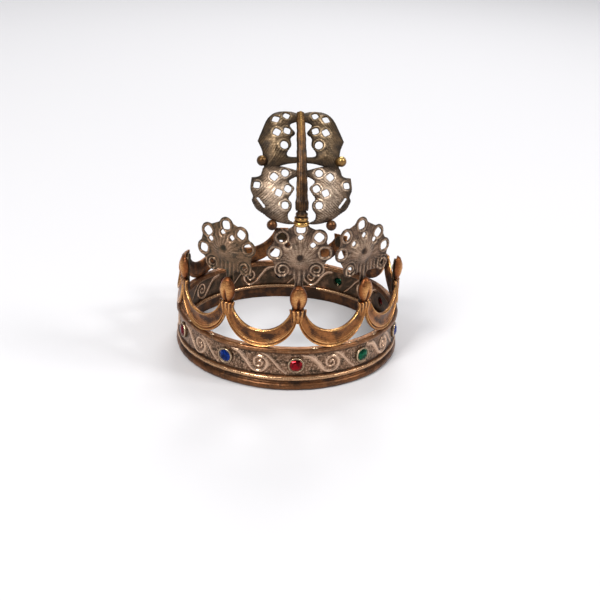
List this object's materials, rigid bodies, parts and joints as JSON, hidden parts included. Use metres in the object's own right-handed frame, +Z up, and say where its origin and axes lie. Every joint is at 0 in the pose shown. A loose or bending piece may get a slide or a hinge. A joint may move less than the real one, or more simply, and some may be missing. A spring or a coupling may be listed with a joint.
{
  "type": "statue crown",
  "caption": "Open round crown: frieze ring with stones, fluted crescent arches, almond knobs, pierced rosettes and a tall curved front crest.",
  "frame": {"origin": "centre of the head opening in the foot's plane", "axes": "+Z up along the ring's axis, -Y towards the crest and front stone, +X to the wearer's left"},
  "size_m": [0.134, 0.1356, 0.1489],
  "materials": {
    "moulding_brass": "worn gilding over brown brass, satin",
    "frieze_brass": "brown patina with worn bright relief, satin",
    "arch_brass": "reddish worn gilding, satin",
    "knob_brass": "reddish gilding, polished on the crown of each knob",
    "rosette_brass": "grey-brown patina with traces of verdigris",
    "crest_brass": "olive-brown patina with bright hatching",
    "crest_gilt": "rubbed gilding",
    "setting_brass": "rubbed bezel",
    "red_glass": "polished faceted glass",
    "dark_red_glass": "polished faceted glass",
    "green_glass": "polished faceted glass",
    "blue_glass": "polished faceted glass"
  },
  "bodies": {
    "root": {"base_ring": "moulding_brass", "inner_bead": "moulding_brass", "frieze_band": "frieze_brass", "top_rim": "moulding_brass", "seam_plate": "moulding_brass", "arch_01": "arch_brass", "arch_02": "arch_brass", "arch_03": "arch_brass", "arch_04": "arch_brass", "arch_05": "arch_brass", "arch_06": "arch_brass", "arch_07": "arch_brass", "arch_08": "arch_brass", "arch_09": "arch_brass", "arch_10": "arch_brass", "upright_01": "arch_brass", "upright_02": "arch_brass", "upright_03": "arch_brass", "upright_04": "arch_brass", "upright_05": "arch_brass", "upright_06": "arch_brass", "upright_07": "arch_brass", "upright_08": "arch_brass", "upright_09": "arch_brass", "upright_10": "arch_brass", "knob_01": "knob_brass", "knob_02": "knob_brass", "knob_03": "knob_brass", "knob_09": "knob_brass", "knob_10": "knob_brass", "knob_rivets": "setting_brass", "gem_settings": "setting_brass", "gem_01": "red_glass", "gem_02": "green_glass", "gem_03": "blue_glass", "gem_04": "red_glass", "gem_05": "green_glass", "gem_06": "blue_glass", "gem_07": "red_glass", "gem_08": "green_glass", "gem_09": "dark_red_glass", "gem_10": "blue_glass", "rosette_front": "rosette_brass", "rosette_right": "rosette_brass", "rosette_left": "rosette_brass", "crest_collar": "crest_gilt", "crest_spine": "crest_gilt", "crest_leaf_lower_left": "crest_brass", "crest_leaf_lower_right": "crest_brass", "crest_leaf_upper_left": "crest_brass", "crest_leaf_upper_right": "crest_brass", "crest_ball_lower_left": "crest_gilt", "crest_ball_lower_right": "crest_gilt", "crest_ball_middle_left": "crest_gilt", "crest_ball_middle_right": "crest_gilt"}
  },
  "joints": []
}
